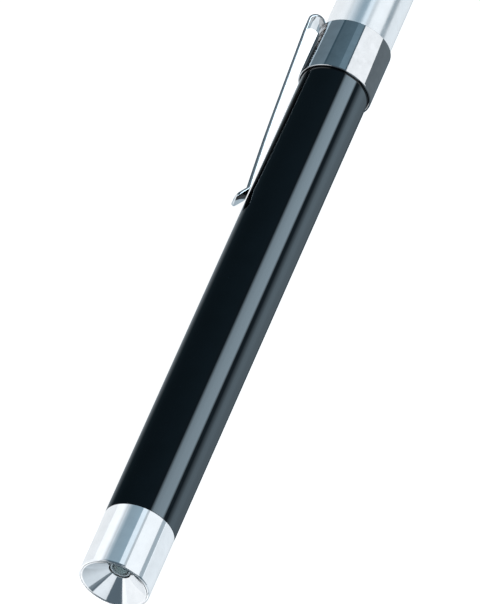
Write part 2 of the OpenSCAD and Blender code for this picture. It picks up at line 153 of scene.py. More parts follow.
class PenlightColours(bpy.types.PropertyGroup):
    """Colours of the finishes"""

    lacquer: rgb("Lacquer", "Colour of the barrel's black lacquer", (0.0005, 0.0008, 0.0011))
    aluminium: rgb("Aluminium", "Colour of the polished head and tail cap", (0.89, 0.90, 0.915))
    chrome: rgb("Chrome", "Colour of the clip's band", (0.585, 0.575, 0.575))
    nickel: rgb("Nickel", "Colour of the clip's strip", (0.62, 0.605, 0.60))
    lens: rgb("Lens", "Tint of the lamp's lens", (0.26, 0.31, 0.30))
    phosphor: rgb("Phosphor", "Colour of the chip inside the lamp", (0.55, 0.55, 0.30))
    pale_plastic: rgb("Pale plastic", "Colour of the lamp holder and the plunger", (0.36, 0.38, 0.38))
    black_plastic: rgb("Black plastic", "Colour of the button and the inner housings", (0.012, 0.013, 0.015))
    brass: rgb("Brass", "Colour of the contacts", (0.72, 0.50, 0.19))
    steel: rgb("Plated steel", "Colour of the springs and the cell cans", (0.58, 0.59, 0.60))
    board: rgb("Board", "Colour of the driver board", (0.02, 0.13, 0.05))
    sleeve: rgb("Cell sleeve", "Colour of the plain cell sleeves", (0.02, 0.08, 0.22))
    rubber: rgb("Rubber", "Colour of the sealing rings", (0.012, 0.012, 0.012))
    floor: rgb("Floor", "Colour of the floor", (0.93, 0.94, 0.95))


class PenlightStudio(bpy.types.PropertyGroup):
    """Camera and light of the studio"""

    tilt: bpy.props.FloatProperty(
        name="Tilt", description="How far the pen's axis leans out of the picture towards the camera",
        default=math.radians(34.77), subtype="ANGLE")
    lean: bpy.props.FloatProperty(
        name="Lean", description="Angle of the pen's axis above the picture's horizontal",
        default=math.radians(65.91), subtype="ANGLE")
    aim: bpy.props.FloatProperty(
        name="Aim", description="Distance behind the head joint of the axis point in the picture's middle",
        default=0.05205, unit="LENGTH", precision=5)
    distance: bpy.props.FloatProperty(
        name="Distance", description="Distance of the camera from the aimed point",
        default=1.2511, unit="LENGTH", precision=4)
    lens: bpy.props.FloatProperty(
        name="Lens", description="Focal length on a 36 mm sensor",
        default=421.3, subtype="DISTANCE_CAMERA")
    surround: bpy.props.FloatProperty(
        name="Surround", description="Strength of the dim light that surrounds the pen",
        default=7.8, min=0.0)
    panel_distance: bpy.props.FloatProperty(
        name="Panel distance", description="Distance of the light panels from the pen's axis",
        default=0.6, unit="LENGTH")


def sizes():
    return bpy.context.scene.penlight_sizes


def colours():
    return bpy.context.scene.penlight_colours


def rest_roll(s):
    """Angle by which the clip leans down from level, so that the pen lies on its band and the clip's edge."""
    reach = BAND_RADIUS + 2 * s.bend_radius
    corner = math.hypot(reach, s.clip_width / 2)
    return math.pi / 2 - math.acos(BAND_RADIUS / corner) - math.atan2(s.clip_width / 2, reach)


def deselect_all():
    """Leaves edit mode and deselects every object."""
    if bpy.context.object and bpy.context.object.mode != "OBJECT":
        bpy.ops.object.mode_set(mode="OBJECT")
    bpy.ops.object.select_all(action="DESELECT")


def named(name):
    """Names the active object and its mesh, and bakes its place into the mesh."""
    piece = bpy.context.object
    piece.name = name
    piece.data.name = name
    bpy.ops.object.transform_apply(location=True, rotation=True, scale=True)
    return piece


def arc(station, radius, round_r, start, end, steps=ARC_STEPS):
    """Profile points on an arc around a centre, between two angles in degrees from the axis."""
    points = []
    for i in range(steps + 1):
        a = math.radians(start + (end - start) * i / steps)
        points.append((station + round_r * math.cos(a), radius + round_r * math.sin(a)))
    return points


def close_mesh(merge=True, fill=False):
    """Merges the active object's points, fills its holes and turns its faces outwards."""
    bpy.ops.object.mode_set(mode="EDIT")
    bpy.ops.mesh.select_all(action="SELECT")
    if merge:
        bpy.ops.mesh.remove_doubles(threshold=MERGE_DISTANCE)
    if fill:
        bpy.ops.mesh.fill_holes(sides=0)
        bpy.ops.mesh.select_all(action="SELECT")
    bpy.ops.mesh.normals_make_consistent(inside=False)
    bpy.ops.object.mode_set(mode="OBJECT")


def smooth(angle):
    """Shades the active object smooth, apart from edges that are sharper than an angle in degrees."""
    bpy.ops.object.shade_smooth_by_angle(angle=math.radians(angle))


def turned(name, profile, closed=True, sharp=40):
    """Turns a profile of (station, radius) points around the pen's axis by extruding a ring of edges.
    An open profile starts and ends close to the axis, and its two small holes are filled."""
    first_x, first_r = profile[0]
    deselect_all()
    bpy.ops.mesh.primitive_circle_add(
        vertices=TURN_SIDES, radius=first_r, fill_type="NOTHING",
        location=(first_x, 0, 0), rotation=(0, math.pi / 2, 0))
    piece = named(name)
    bpy.ops.object.mode_set(mode="EDIT")
    bpy.ops.mesh.select_all(action="SELECT")
    route = profile + profile[:1] if closed else profile
    for (x0, r0), (x1, r1) in zip(route, route[1:]):
        bpy.ops.mesh.extrude_edges_move(TRANSFORM_OT_translate={"value": (x1 - x0, 0, 0)})
        bpy.ops.transform.resize(value=(1, r1 / r0, r1 / r0), center_override=(x1, 0, 0))
    close_mesh(fill=not closed)
    smooth(sharp)
    return piece


def place(piece, body, finish, node=None):
    """Gives a finished piece its material and body, and puts it in its CAD node's stead."""
    piece.data.materials.clear()
    piece.data.materials.append(finish)
    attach(piece, body)
    if node:
        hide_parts(node)


def spigot_profile(s):
    """A threaded spigot as (distance from its shoulder, radius) points, from the shoulder to its end."""
    socket = BARREL_RADIUS - s.barrel_wall + s.socket_step
    outside = socket - s.spigot_gap
    section = SEAL_HIGH[0] - SEAL_LOW[0]
    groove = SEAL_HIGH[1] - section - s.fit
    groove_end = s.seal_offset + section + 2 * s.fit
    points = [
        (0.0, outside), (s.seal_offset, outside), (s.seal_offset, groove),
        (groove_end, groove), (groove_end, outside),
    ]
    start = groove_end + s.thread_land
    count = int((s.spigot_length - start - s.thread_land) / s.thread_pitch + MERGE_DISTANCE)
    for i in range(count):
        ridge = start + i * s.thread_pitch
        points.append((ridge, outside))
        points.append((ridge + s.thread_pitch / 2, outside - s.thread_depth))
    points.append((start + count * s.thread_pitch, outside))
    points.append((s.spigot_length - s.edge_round, outside))
    points.append((s.spigot_length, outside - s.edge_round))
    return points


class BuildBarrel(bpy.types.Operator):
    """Turns the lacquered barrel with its two sockets"""

    bl_idname = "penlight.barrel"
    bl_label = "Barrel"

    def execute(self, context):
        s = sizes()
        front, back = BARREL_HIGH[0], BARREL_LOW[0]
        bore = BARREL_RADIUS - s.barrel_wall
        socket = bore + s.socket_step
        edge = s.edge_round
        profile = [(front, socket)]
        profile += arc(front - edge, BARREL_RADIUS - edge, edge, 0, 90)
        profile += arc(back + edge, BARREL_RADIUS - edge, edge, 90, 180)
        profile += [
            (back, socket), (back + s.socket_depth, socket), (back + s.socket_depth, bore),
            (-s.socket_depth, bore), (-s.socket_depth, socket),
        ]
        place(turned("barrel_tube", profile), "barrel", lacquer_finish(), "barrel")
        return {"FINISHED"}


class BuildHead(bpy.types.Operator):
    """Turns the bright head with its lip, reflector cone and threaded spigot"""

    bl_idname = "penlight.head"
    bl_label = "Head"

    sharp = 18

    def execute(self, context):
        s = sizes()
        front = HEAD_HIGH[0]
        mouth = BARREL_RADIUS - s.lip_width
        cone_back = front - s.reflector_depth
        web_back = cone_back - s.lamp_web
        core = HOLDER_HIGH[1] + s.fit
        profile = [(JOINT_PLANE, BARREL_RADIUS)]
        profile += arc(front - s.lip_round, BARREL_RADIUS - s.lip_round, s.lip_round, 90, 0)
        profile += self.crowned_lip(front, mouth, s)
        profile += [(cone_back, s.lamp_hole), (web_back, s.lamp_hole)]
        profile += [(web_back, core), (-s.spigot_length, core)]
        profile += [(-d, r) for d, r in reversed(spigot_profile(s))]
        piece = turned("head_shell_turned", profile, sharp=self.sharp)
        place(piece, "head", aluminium_finish(), "head_shell")
        return {"FINISHED"}

    def crowned_lip(self, front, mouth, s):
        """Points from the lip's rounding to the mouth, over the lip's gently crowned front."""
        rounding = BARREL_RADIUS - s.lip_round
        points = []
        for i in range(1, ARC_STEPS + 1):
            share = i / ARC_STEPS
            points.append((front - s.lip_crown * share ** 2, rounding + (mouth - rounding) * share))
        return points


class BuildLamp(bpy.types.Operator):
    """Turns the lamp's lens, the cup and chip inside it and the holder around it"""

    bl_idname = "penlight.lamp"
    bl_label = "Lamp"

    chip_share = 0.45
    bowl_wall = 0.0001
    dome_steps = 16
    dome_end = 1

    def execute(self, context):
        s = sizes()
        back, tip = LAMP_LOW[0], LAMP_HIGH[0]
        flange = LAMP_HIGH[1]
        seat = tip - s.lens_height
        lens = [(back, AXIS_HOLE), (back, flange), (seat, flange), (seat, s.lens_radius)]
        lens += arc(tip - s.lens_radius, 0, s.lens_radius, 90, self.dome_end, self.dome_steps)
        lens[-1] = (tip, AXIS_HOLE)
        place(turned("lamp_lens", lens, closed=False), "head", lens_finish(), "lamp")
        bowl_front = tip - 2 * s.lens_radius
        bowl_back = bowl_front - s.cup_depth
        chip = s.cup_radius * self.chip_share
        bowl = [
            (bowl_back - self.bowl_wall, AXIS_HOLE), (bowl_back - self.bowl_wall, s.cup_radius),
            (bowl_front, s.cup_radius), (bowl_front, s.cup_radius - self.bowl_wall),
            (bowl_back, chip), (bowl_back, AXIS_HOLE),
        ]
        place(turned("lamp_cup", bowl, closed=False), "head", steel_finish())
        block = [(bowl_back, AXIS_HOLE), (bowl_back, chip), (bowl_back + chip / 2, chip)]
        block += [(bowl_back + chip / 2, AXIS_HOLE)]
        phosphor = plastic("lamp_phosphor", colours().phosphor, low=0.5, high=0.65, drift=0.9)
        place(turned("lamp_chip", block, closed=False), "head", phosphor)
        shoulder = HEAD_HIGH[0] - s.reflector_depth - s.lamp_web
        inside = s.lens_radius + s.fit
        nose = inside + s.nose_wall
        holder = [
            (HOLDER_LOW[0], flange + s.fit), (HOLDER_LOW[0], HOLDER_HIGH[1]), (shoulder, HOLDER_HIGH[1]),
            (shoulder, nose), (HOLDER_HIGH[0], nose), (HOLDER_HIGH[0], inside), (seat, inside),
            (seat, flange + s.fit),
        ]
        piece = turned("lamp_holder_turned", holder)
        place(piece, "head", pale_plastic_finish(), "lamp_holder")
        return {"FINISHED"}


class BuildClipBand(bpy.types.Operator):
    """Turns the bright band that holds the clip"""

    bl_idname = "penlight.clip_band"
    bl_label = "Clip Band"

    edge_steps = 4

    def execute(self, context):
        s = sizes()
        front, back = BAND_HIGH[0], BAND_LOW[0]
        inside = BAND_RADIUS - s.sheet
        edge, outer = s.sheet_edge, s.band_round
        profile = arc(front - edge, inside + edge, edge, -90, 0, self.edge_steps)
        profile += arc(front - outer, BAND_RADIUS - outer, outer, 0, 90)
        profile += arc(back + edge, BAND_RADIUS - edge, edge, 90, 180)
        profile += arc(back + edge, inside + edge, edge, 180, 270, self.edge_steps)
        piece = turned("clip_band_turned", profile)
        place(piece, "barrel", spring_sheet("chromed_band", colours().chrome), "clip_band")
        return {"FINISHED"}


class BuildClipArm(bpy.types.Operator):
    """Sweeps the clip's strip through its hairpin, bow, pinch and flared tip"""

    bl_idname = "penlight.clip_arm"
    bl_label = "Clip Arm"

    columns = 24
    bend_steps = 28
    arm_steps = 24
    pinch_steps = 10
    bevel_segments = 3
    bevel_angle = math.radians(50)
    sharp = 40

    def execute(self, context):
        s = sizes()
        root_u = BAND_RADIUS - s.sheet / 2
        bend_x = ARM_LOW[0] + s.bend_radius + s.sheet / 2
        bend_u = root_u + s.bend_radius
        arm_u = root_u + 2 * s.bend_radius
        pinch_u = BARREL_RADIUS + s.pinch_gap + s.sheet / 2
        lean = s.lean_share * math.atan2(arm_u - pinch_u, s.arm_length)
        lean_out = Vector((math.sin(lean), math.cos(lean)))
        lean_along = Vector((math.cos(lean), -math.sin(lean)))
        straight = lean_along * s.straight_share * s.arm_length
        bow_start = Vector((bend_x, bend_u)) + lean_out * s.bend_radius + straight
        bow_chord = Vector((bend_x + s.arm_length, pinch_u)) - bow_start
        bow_drop = -bow_chord.dot(lean_out)
        bow_angle = 2 * math.atan2(bow_drop, bow_chord.dot(lean_along))
        bow_center = bow_start - lean_out * bow_chord.length_squared / (2 * bow_drop)
        arm_angle = lean + bow_angle
        pinch_x = bend_x + s.arm_length + s.pinch_radius * math.sin(arm_angle)
        pinch_center_u = pinch_u + s.pinch_radius * math.cos(arm_angle)
        deselect_all()
        bpy.ops.mesh.primitive_grid_add(
            x_subdivisions=self.columns, y_subdivisions=1, size=1,
            location=(bend_x, -root_u, 0), rotation=(0, math.pi / 2, 0))
        bpy.context.object.scale = (s.clip_width, s.sheet, 1)
        piece = named("clip_arm_strip")
        bpy.ops.object.mode_set(mode="EDIT")
        bpy.ops.mesh.select_all(action="SELECT")
        self.sweep(self.bend_steps, math.pi + lean, (bend_x, -bend_u, 0))
        bpy.ops.mesh.extrude_region_move(TRANSFORM_OT_translate={"value": (straight.x, -straight.y, 0)})
        self.sweep(self.arm_steps, bow_angle, (bow_center.x, -bow_center.y, 0))
        self.sweep(self.pinch_steps, -arm_angle - s.tip_angle, (pinch_x, -pinch_center_u, 0))
        heading = Vector((math.cos(s.tip_angle), -math.sin(s.tip_angle), 0))
        for _ in range(2):
            bpy.ops.mesh.extrude_region_move(TRANSFORM_OT_translate={"value": heading * s.tip_length / 2})
        bpy.ops.object.mode_set(mode="OBJECT")
        self.round_tip(piece, heading, s)
        close_mesh()
        self.seat_root(piece, bend_x, bend_u, s)
        bevel = piece.modifiers.new("edges", "BEVEL")
        bevel.width = s.sheet_edge
        bevel.segments = self.bevel_segments
        bevel.limit_method = "ANGLE"
        bevel.angle_limit = self.bevel_angle
        bpy.ops.object.modifier_apply(modifier="edges")
        smooth(self.sharp)
        piece.rotation_euler.x = rest_roll(s)
        bpy.ops.object.transform_apply(rotation=True)
        place(piece, "clip", spring_sheet("nickel_clip", colours().nickel), "clip_arm")
        return {"FINISHED"}

    def sweep(self, steps, angle, center):
        """Carries the strip's end around a centre, clockwise seen from +Z where the angle is positive."""
        bpy.ops.mesh.spin(steps=steps, angle=angle, center=center, axis=(0, 0, -1))

    def round_tip(self, piece, heading, s):
        """Draws the last row of points back into rounded corners."""
        corner = s.tip_round
        for vertex in piece.data.vertices:
            past = abs(vertex.co.z) - (s.clip_width / 2 - corner)
            if vertex.select and past > 0:
                vertex.co -= heading * (corner - math.sqrt(max(corner ** 2 - past ** 2, 0)))

    def seat_root(self, piece, bend_x, bend_u, s):
        """Curves the strip's root around the axis, so that it leaves the band's edge flush."""
        for vertex in piece.data.vertices:
            behind = bend_x - vertex.co.x
            outward = -vertex.co.y
            if behind < -MERGE_DISTANCE or outward > bend_u:
                continue
            share = max(0.0, 1 - behind / s.bend_radius)
            sag = outward - math.sqrt(outward ** 2 - vertex.co.z ** 2)
            vertex.co.y += sag * share


class BuildTailCap(bpy.types.Operator):
    """Turns the bright tail cap with its threaded spigot and button hole"""

    bl_idname = "penlight.tail_cap"
    bl_label = "Tail Cap"

    def execute(self, context):
        s = sizes()
        nose, back = TAIL_HIGH[0], TAIL_LOW[0]
        shoulder = nose - s.spigot_length
        core = HOLDER_HIGH[1] + s.fit
        seat = back + s.tail_wall
        hole = s.button_radius + s.fit
        profile = [(shoulder + d, r) for d, r in spigot_profile(s)]
        profile += [(nose, core), (seat, core), (seat, hole), (back + s.edge_round, hole)]
        profile += [(back, hole + s.edge_round)]
        profile += arc(back + s.tail_round, BARREL_RADIUS - s.tail_round, s.tail_round, 180, 90)
        profile += [(shoulder, BARREL_RADIUS)]
        piece = turned("tail_cap_turned", profile)
        place(piece, "tail", satin_finish(), "tail_cap")
        return {"FINISHED"}


class BuildPushButton(bpy.types.Operator):
    """Turns the push button with its collar and dished end"""

    bl_idname = "penlight.push_button"
    bl_label = "Push Button"

    def execute(self, context):
        s = sizes()
        front, back = BUTTON_HIGH[0], BUTTON_LOW[0]
        collar_back = front - s.collar_thick
        profile = [(front, AXIS_HOLE), (front, BUTTON_HIGH[1]), (collar_back, BUTTON_HIGH[1])]
        profile += [(collar_back, s.button_radius)]
        profile += arc(back + s.button_round, s.button_radius - s.button_round, s.button_round, 90, 180)
        for i in range(ARC_STEPS + 1):
            share = i / ARC_STEPS
            radius = s.dish_radius + (AXIS_HOLE - s.dish_radius) * share
            profile.append((back + s.dish_depth * math.sin(share * math.pi / 2) ** 2, radius))
        piece = turned("push_button_turned", profile, closed=False)
        gloss = plastic("gloss_black_button", colours().black_plastic, low=0.12, high=0.2)
        place(piece, "button", gloss, "push_button")
        return {"FINISHED"}


class BuildReturnSpring(bpy.types.Operator):
    """Winds the button's return spring as a coil of fixed length; the real spring shortens as the button goes
    in.
    """

    bl_idname = "penlight.return_spring"
    bl_label = "Return Spring"

    wire_sides = 10
    turn_steps = 32
    sharp = 50

    def execute(self, context):
        s = sizes()
        back, front = SPRING_LOW[0], SPRING_HIGH[0]
        length = front - back
        wire_r = s.spring_wire / 2
        deselect_all()
        bpy.ops.mesh.primitive_circle_add(
            vertices=self.wire_sides, radius=wire_r, fill_type="NOTHING",
            location=(back + wire_r, SPRING_HIGH[1] - wire_r, 0))
        piece = named("return_spring_coil")
        turns = piece.modifiers.new("turns", "SCREW")
        turns.axis = "X"
        turns.screw_offset = (length - s.spring_wire) / s.spring_turns
        turns.iterations = s.spring_turns
        turns.steps = self.turn_steps
        bpy.ops.object.modifier_apply(modifier="turns")
        close_mesh(merge=False, fill=True)
        smooth(self.sharp)
        place(piece, "tail", steel_finish(), "return_spring")
        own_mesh(piece)
        return {"FINISHED"}


# The colour sockets of a Mix node
MIX_FIRST, MIX_SECOND, MIX_RESULT = 6, 7, 2


def add_node(tree, kind, operation=None, **values):
    """Adds a shader node to a tree, with its operation and the values of its inputs."""
    node = tree.nodes.new("ShaderNode" + kind)
    if operation:
        node.operation = operation
    for label, value in values.items():
        node.inputs[label.replace("_", " ")].default_value = value
    return node


def combined(tree, operation, first, second):
    """Adds a node that works out one value from two, and returns its output."""
    node = add_node(tree, "Math", operation)
    tree.links.new(first, node.inputs[0])
    tree.links.new(second, node.inputs[1])
    return node.outputs["Value"]


def colour_mix(tree, factor, first, second):
    """Adds a node that blends into a second colour, which is an output or a plain colour."""
    node = add_node(tree, "Mix")
    node.data_type = "RGBA"
    tree.links.new(factor, node.inputs["Factor"])
    tree.links.new(first, node.inputs[MIX_FIRST])
    if isinstance(second, tuple):
        node.inputs[MIX_SECOND].default_value = second
    else:
        tree.links.new(second, node.inputs[MIX_SECOND])
    return node.outputs[MIX_RESULT]


def noise_on(tree, vector, scale, detail):
    """Adds noise on given coordinates, and returns its value from 0 to 1."""
    noise = add_node(tree, "TexNoise", Detail=detail)
    tree.links.new(vector, noise.inputs["Vector"])
    tree.links.new(scale, noise.inputs["Scale"])
    return noise.outputs["Fac"]


def object_noise(tree, scale, detail=4.0):
    """Adds noise on Object coordinates, and returns its value from 0 to 1."""
    return noise_on(tree, add_node(tree, "TexCoord").outputs["Object"], scale, detail)


def stretched(tree, value, low, high):
    """Adds a node that stretches the span from low to high to the span from 0 to 1."""
    node = add_node(tree, "MapRange", From_Min=low, From_Max=high)
    tree.links.new(value, node.inputs["Value"])
    return node


def shared_group(output, kind="Float", **inputs):
    """Turns a function that fills a shader node group and returns its result
    into one that makes the group the first time and gives it each time."""
    def decorate(fill):
        name = fill.__name__

        def shared():
            if name not in bpy.data.node_groups:
                group = bpy.data.node_groups.new(name, "ShaderNodeTree")
                for label, default in inputs.items():
                    socket = "NodeSocketColor" if isinstance(default, tuple) else "NodeSocketFloat"
                    entry = group.interface.new_socket(label, in_out="INPUT", socket_type=socket)
                    entry.default_value = default
                group.interface.new_socket(output, in_out="OUTPUT", socket_type="NodeSocket" + kind)
                given = group.nodes.new("NodeGroupInput").outputs
                result = group.nodes.new("NodeGroupOutput").inputs[output]
                group.links.new(fill(group, given), result)
            return bpy.data.node_groups[name]
        return shared
    return decorate


@shared_group("Value", Scale=300.0, Low=0.1, High=0.2)
def wandering_value(group, given):
    """A value that wanders between two limits over the surface."""
    spread = stretched(group, object_noise(group, given["Scale"]), low=0.3, high=0.7)
    group.links.new(given["Low"], spread.inputs["To Min"])
    group.links.new(given["High"], spread.inputs["To Max"])
    return spread.outputs["Result"]


@shared_group("Colour", kind="Color", Scale=200.0, Colour=(0.5, 0.5, 0.5, 1.0), Drift=(0.4, 0.4, 0.4, 1.0))
def tint_drift(group, given):
    """A colour that drifts to a second one in soft patches."""
    spread = stretched(group, object_noise(group, given["Scale"]), low=0.32, high=0.68)
    return colour_mix(group, spread.outputs["Result"], given["Colour"], given["Drift"])


@shared_group("Mask", Scale=900.0, Amount=0.5)
def edge_wear(group, given):
    """A mask over the rubbed edges of a piece, broken up by noise."""
    shape = add_node(group, "NewGeometry")
    ridge = stretched(group, shape.outputs["Pointiness"], low=0.53, high=0.62)
    patch = stretched(group, object_noise(group, given["Scale"]), low=0.35, high=0.6)
    group.links.new(given["Amount"], patch.inputs["To Max"])
    return combined(group, "MULTIPLY", ridge.outputs["Result"], patch.outputs["Result"])


@shared_group("Mask", Scale=9000.0, Amount=0.05)
def hairlines(group, given):
    """A mask of sparse fine hairlines that run along the pen."""
    coords = add_node(group, "TexCoord")
    slant = add_node(group, "Mapping", Rotation=(0.4, 0.06, 0.09), Scale=(0.02, 1, 1))
    group.links.new(coords.outputs["Object"], slant.inputs["Vector"])
    noise = noise_on(group, slant.outputs["Vector"], given["Scale"], detail=1.0)
    marks = stretched(group, noise, low=0.66, high=0.74)
    group.links.new(given["Amount"], marks.inputs["To Max"])
    return marks.outputs["Result"]


@shared_group("Height", Rings=9000.0)
def turning_marks(group, given):
    """The height of fine rings that a lathe leaves along the pen's axis."""
    coords = add_node(group, "TexCoord")
    split = add_node(group, "SeparateXYZ")
    noise = add_node(group, "TexNoise", Detail=3.0)
    noise.noise_dimensions = "1D"
    group.links.new(coords.outputs["Object"], split.inputs["Vector"])
    group.links.new(split.outputs["X"], noise.inputs["W"])
    group.links.new(given["Rings"], noise.inputs["Scale"])
    return noise.outputs["Fac"]


@shared_group("Height", Scale=2000.0)
def grain(group, given):
    """The height of an even fine grain, such as orange peel or a moulded skin."""
    return object_noise(group, given["Scale"], detail=2.0)


def add_group(tree, group, **values):
    """Places a node group in a material with its own values, and returns its output."""
    node = tree.nodes.new("ShaderNodeGroup")
    node.node_tree = group
    for label, value in values.items():
        node.inputs[label].default_value = value
    return node.outputs[0]


def shade(colour, factor):
    """A colour made lighter or darker, with its alpha."""
    return (*[min(1.0, part * factor) for part in colour], 1.0)


class Finish:
    """A procedural material that is put together from the shared node groups."""

    def __init__(self, name):
        self.material = bpy.data.materials.new(name)
        self.material.use_nodes = True
        self.tree = self.material.node_tree
        self.shader = self.tree.nodes["Principled BSDF"]

    def set(self, **values):
        for label, value in values.items():
            self.shader.inputs[label.replace("_", " ")].default_value = value

    def colour(self, colour, drift, scale, worn=None, wear=0.0):
        """Colours the surface in soft patches, and its rubbed edges in a worn colour."""
        drifted = shade(colour, drift)
        tint = add_group(self.tree, tint_drift(), Scale=scale, Colour=(*colour, 1.0), Drift=drifted)
        if worn:
            tint = colour_mix(self.tree, add_group(self.tree, edge_wear(), Amount=wear), tint, worn)
        self.tree.links.new(tint, self.shader.inputs["Base Color"])

    def roughness(self, low, high, scale, scratches=0.0):
        """Lets the roughness wander between two limits, with hairlines on top."""
        value = add_group(self.tree, wandering_value(), Scale=scale, Low=low, High=high)
        if scratches:
            value = combined(self.tree, "ADD", value, add_group(self.tree, hairlines(), Amount=scratches))
        self.tree.links.new(value, self.shader.inputs["Roughness"])

    def relief(self, group, strength, distance, **values):
        """Bumps the surface by the height that a node group puts out."""
        bump = add_node(self.tree, "Bump", Strength=strength, Distance=distance)
        self.tree.links.new(add_group(self.tree, group, **values), bump.inputs["Height"])
        self.tree.links.new(bump.outputs["Normal"], self.shader.inputs["Normal"])


def made_once(build):
    """Keeps the first material that a finish function makes, and gives that one each time."""
    kept = []

    def finish():
        if not kept:
            kept.append(build())
        return kept[0]
    return finish


ALUMINIUM_WORN = (0.95, 0.96, 0.97, 1.0)
LACQUER_WORN = (0.05, 0.055, 0.06, 1.0)
PLATING_WORN = (0.64, 0.66, 0.67, 1.0)


def lacquer_finish():
    finish = Finish("gloss_black_lacquer")
    finish.colour(colours().lacquer, drift=1.6, scale=260.0, worn=LACQUER_WORN, wear=0.5)
    finish.roughness(low=0.03, high=0.055, scale=300.0, scratches=0.03)
    finish.relief(grain(), strength=0.06, distance=0.00001, Scale=1400.0)
    finish.set(IOR=1.42)
    return finish.material


def aluminium_finish():
    finish = Finish("polished_aluminium")
    finish.colour(colours().aluminium, drift=0.93, scale=420.0, worn=ALUMINIUM_WORN, wear=0.6)
    finish.roughness(low=0.05, high=0.10, scale=500.0, scratches=0.05)
    finish.relief(turning_marks(), strength=0.06, distance=0.000003, Rings=9000.0)
    finish.set(Metallic=1.0)
    return finish.material


def satin_finish():
    finish = Finish("satin_aluminium")
    finish.colour(colours().aluminium, drift=0.95, scale=380.0, worn=ALUMINIUM_WORN, wear=0.6)
    finish.roughness(low=0.17, high=0.23, scale=450.0, scratches=0.06)
    finish.relief(turning_marks(), strength=0.06, distance=0.000003, Rings=8000.0)
    finish.set(Metallic=1.0)
    return finish.material


def spring_sheet(name, colour):
    """A bright plating on spring sheet that was rolled and bent."""
    finish = Finish(name)
    finish.colour(colour, drift=0.88, scale=600.0, worn=PLATING_WORN, wear=0.7)
    finish.roughness(low=0.03, high=0.07, scale=700.0, scratches=0.06)
    finish.relief(grain(), strength=0.25, distance=0.00002, Scale=420.0)
    finish.set(Metallic=1.0)
    return finish.material


def lens_finish():
    finish = Finish("moulded_lens")
    finish.colour(colours().lens, drift=0.94, scale=900.0)
    finish.roughness(low=0.14, high=0.18, scale=900.0)
    finish.set(Transmission_Weight=0.4, IOR=1.52)
    return finish.material


def plastic(name, colour, low, high, drift=1.25, skin=3500.0):
    """A moulded plastic with a fine skin, whose roughness lies between two limits."""
    finish = Finish(name)
    finish.colour(colour, drift, scale=500.0)
    finish.roughness(low, high, scale=800.0, scratches=0.06)
    finish.relief(grain(), strength=0.2, distance=0.00001, Scale=skin)
    return finish.material


def plated(name, colour, low, high):
    """A plated or rolled metal with a little tarnish, whose roughness lies between two limits."""
    finish = Finish(name)
    finish.colour(colour, drift=0.85, scale=700.0, worn=shade(colour, 1.3), wear=0.6)
    finish.roughness(low, high, scale=900.0, scratches=0.08)
    finish.relief(grain(), strength=0.1, distance=0.000005, Scale=2500.0)
    finish.set(Metallic=1.0)
    return finish.material


@made_once
def pale_plastic_finish():
    return plastic("pale_nylon", colours().pale_plastic, 0.35, 0.5, drift=0.92)


@made_once
def steel_finish():
    return plated("plated_steel", colours().steel, 0.2, 0.32)


class FinishInnerPieces(bpy.types.Operator):
    """Gives the pieces inside the pen their finishes"""

    bl_idname = "penlight.inner_pieces"
    bl_label = "Inner Pieces"

    def execute(self, context):
        c = colours()
        brass = plated("bright_brass", c.brass, 0.18, 0.3)
        black = plastic("black_nylon", c.black_plastic, 0.4, 0.55)
        board = plastic("solder_mask", c.board, 0.25, 0.4)
        sleeve = plastic("plain_cell_sleeve", c.sleeve, 0.15, 0.25)
        rubber = plastic("matt_rubber", c.rubber, 0.5, 0.7, skin=1800.0)
        finishes = {
            steel_finish(): [
                "lamp_leads", "front_cell_can", "rear_cell_can", "front_cell_terminal",
                "rear_cell_terminal", "cell_spring"],
            brass: [
                "ground_ring", "front_contact", "retaining_ring", "spring_plate",
                "side_contact", "bridge_contact"],
            black: ["lamp_plug", "resistor", "switch_housing"],
            board: ["driver_board"],
            sleeve: ["front_cell_label", "rear_cell_label"],
            rubber: ["head_seal", "tail_seal"],
            pale_plastic_finish(): ["plunger"],
        }
        for finish, names in finishes.items():
            for name in names:
                mesh = NODES[name].data
                mesh.materials.clear()
                mesh.materials.append(finish)
        return {"FINISHED"}


# The studio around the pen's axis: degrees from over the camera's side of the pen towards its right,
# share of the surround's strength, and how far the light leans to blue
STUDIO_BANDS = [
    (-180, 0.014, 0.5),
    (-100, 0.015, 0.6),
    (-60, 0.023, 0.6),
    (-4, 0.034, 0.6),
    (9, 0.03, 0.5),
    (59, 0.03, 0.45),
    (68, 0.03, 0.5),
    (80, 0.035, 0.3),
    (125, 0.035, 0.3),
    (150, 0.03, 0.3),
    (180, 0.014, 0.5),
]
BLUE_LEAN = (1.0, 0.42, 0.0)

# Pieces that are lit together
HEAD = ("head_shell_turned",)
TAIL = ("tail_cap_turned",)
BARREL = ("barrel_tube",)
BAND = ("clip_band_turned",)
BRIGHT_ENDS = HEAD + TAIL
ARM = ("clip_arm_strip",)
CLIP_PIECES = BAND + ARM
LAMP = ("lamp_lens", "lamp_cup", "lamp_chip", "lamp_holder_turned")
DARK_PIECES = BARREL + ARM + LAMP + ("push_button_turned",)

